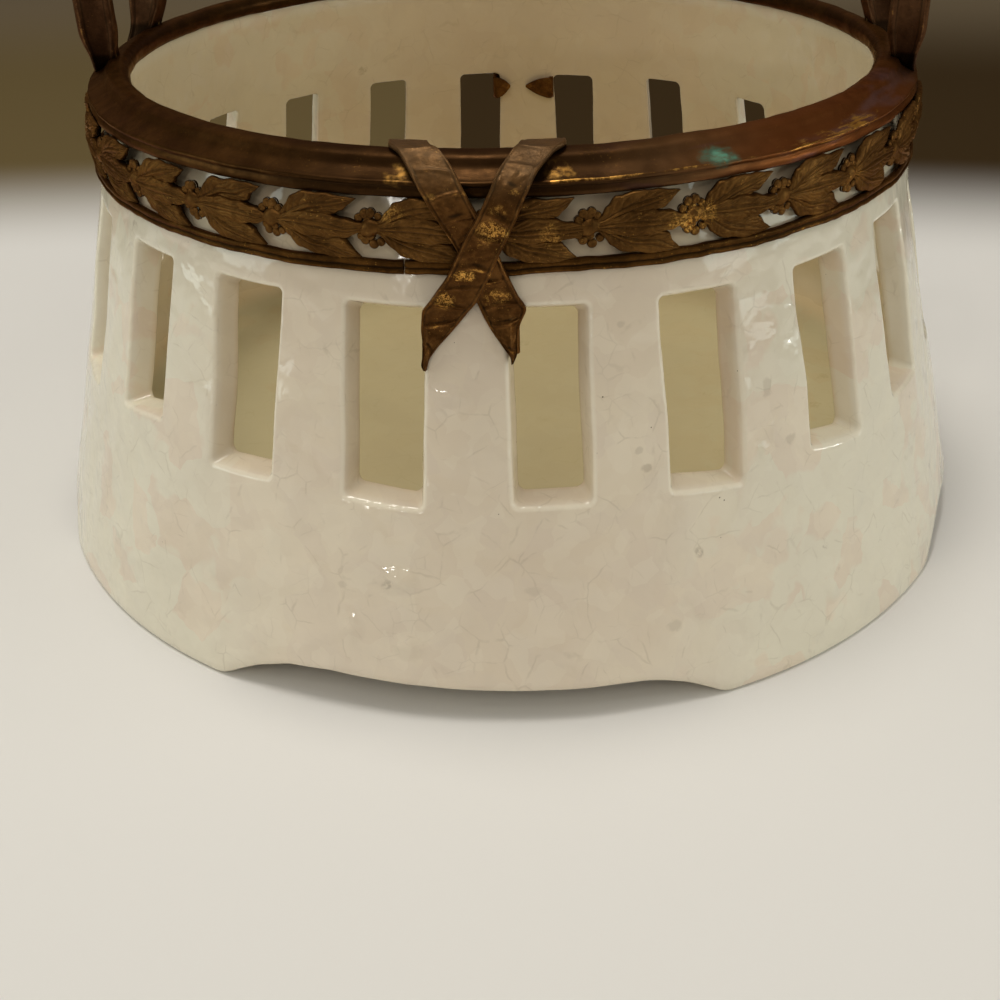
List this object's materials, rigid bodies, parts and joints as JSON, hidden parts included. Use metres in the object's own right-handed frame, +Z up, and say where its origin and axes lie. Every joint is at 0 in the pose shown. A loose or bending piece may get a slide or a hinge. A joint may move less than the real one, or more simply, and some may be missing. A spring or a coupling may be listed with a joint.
{
  "type": "creamware basket",
  "caption": "Round openwork glazed earthenware basket on shallow bracket feet, with a bronze laurel gallery, crossed ribbons and upright ring handles on the rim.",
  "frame": {"origin": "centre of the foot ring, on the surface that the basket stands on", "axes": "+Z up, -Y towards the front where the first pair of ribbons crosses, the two handles at -X and +X"},
  "size_m": [0.2084, 0.2084, 0.131],
  "materials": {
    "creamware": "glossy crazed cream glaze",
    "mastic": "matt",
    "bronze": "dark brown patina",
    "worn_bronze": "brown patina worn to gold on the high places",
    "brass": "dull"
  },
  "bodies": {
    "root": {"creamware_body": "creamware", "bedding_ring": "mastic", "rim_moulding": "bronze", "lower_band_right": "bronze", "lower_band_left": "bronze", "laurel_frieze_1": "worn_bronze", "laurel_frieze_2": "worn_bronze", "laurel_frieze_3": "worn_bronze", "laurel_frieze_4": "worn_bronze", "laurel_frieze_5": "worn_bronze", "laurel_frieze_6": "worn_bronze", "ribbon_front_under": "worn_bronze", "ribbon_front_over": "worn_bronze", "ribbon_rivet_front": "brass", "ribbon_back_under": "worn_bronze", "ribbon_back_over": "worn_bronze", "ribbon_rivet_back": "brass", "handle_left": "bronze", "handle_right": "bronze", "handle_screw_left_front": "brass", "handle_screw_left_back": "brass", "handle_screw_right_front": "brass", "handle_screw_right_back": "brass"}
  },
  "joints": []
}
